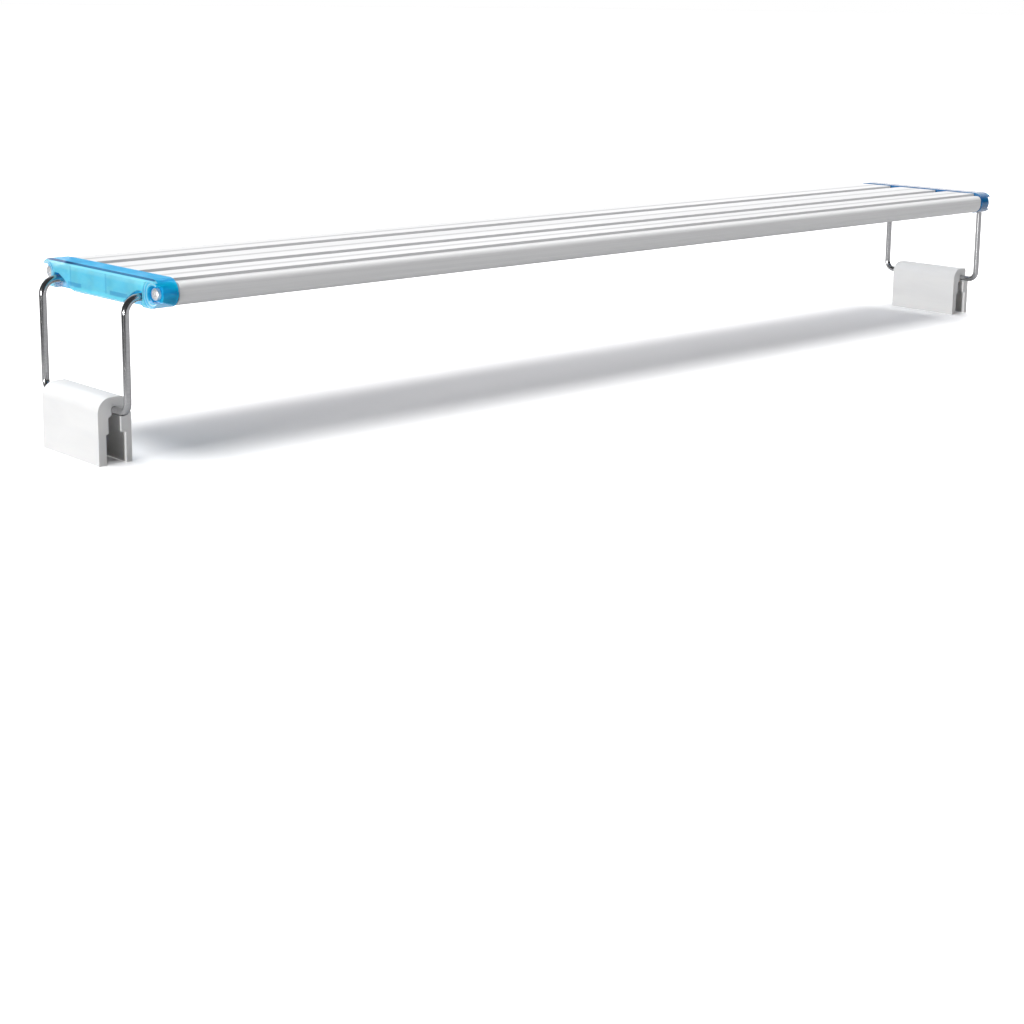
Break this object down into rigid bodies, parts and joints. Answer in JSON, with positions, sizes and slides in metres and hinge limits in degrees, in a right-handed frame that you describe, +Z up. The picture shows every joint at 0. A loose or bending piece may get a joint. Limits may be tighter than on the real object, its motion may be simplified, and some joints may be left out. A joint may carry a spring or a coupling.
{
  "type": "led aquarium light",
  "caption": "Slim aluminium bar lamp for an aquarium, with translucent end caps, sliding wire brackets and pivoting clamps that sit on the tank glass.",
  "frame": {"origin": "on the floor plane under the middle of the lamp, brackets pushed in", "axes": "+X along the lamp towards the cable gland end, -Y towards the front edge, +Z up"},
  "size_m": [0.386, 0.0576, 0.0488],
  "materials": {
    "satin_aluminium": "satin silver-white anodised",
    "board_white": "white solder mask with a cool cast",
    "tape_grey": "matt",
    "led_frame": "moulded white",
    "phosphor": "silicone with pale yellow phosphor",
    "led_clear": "clear silicone",
    "tin": "tinned",
    "clear_acrylic": "clear polished",
    "lead_red": "soft insulation",
    "lead_black": "soft insulation",
    "blue_plastic": "translucent blue moulding",
    "black_rubber": "matt",
    "screw_steel": "bright",
    "nylon": "natural",
    "wire_steel": "polished stainless wire",
    "white_plastic": "smooth satin moulding"
  },
  "bodies": {
    "lamp": {"housing": "satin_aluminium", "led_board": "board_white", "thermal_tape": "tape_grey", "white_led_frames": "led_frame", "white_led_phosphors": "phosphor", "blue_led_frames": "led_frame", "blue_led_lenses": "led_clear", "led_terminals": "tin", "clear_cover": "clear_acrylic", "solder_pads": "tin", "supply_lead_red": "lead_red", "supply_lead_black": "lead_black", "left_end_cap": "blue_plastic", "right_end_cap": "blue_plastic", "left_cap_gasket": "black_rubber", "right_cap_gasket": "black_rubber", "left_cap_screws": "screw_steel", "right_cap_screws": "screw_steel", "left_guide_bushes": "nylon", "right_guide_bushes": "nylon", "cable_gland": "black_rubber"},
    "left_bracket": {"left_bracket_wire": "wire_steel", "left_leg_stops": "wire_steel"},
    "right_bracket": {"right_bracket_wire": "wire_steel", "right_leg_stops": "wire_steel"},
    "left_clamp_body": {"left_clamp": "white_plastic"},
    "right_clamp_body": {"right_clamp": "white_plastic"}
  },
  "joints": [
    {"name": "left_bracket_slide", "type": "slide", "parent": "lamp", "child": "left_bracket", "axis": [-1, 0, 0], "range_m": [0, 0.1]},
    {"name": "right_bracket_slide", "type": "slide", "parent": "lamp", "child": "right_bracket", "axis": [1, 0, 0], "range_m": [0, 0.1]},
    {"name": "left_clamp_turn", "type": "hinge", "parent": "left_bracket", "child": "left_clamp_body", "pos_m": [-0.1882, 0, 0.0142], "axis": [0, 1, 0], "continuous": true},
    {"name": "right_clamp_turn", "type": "hinge", "parent": "right_bracket", "child": "right_clamp_body", "pos_m": [0.1882, 0, 0.0142], "axis": [0, 1, 0], "continuous": true}
  ]
}
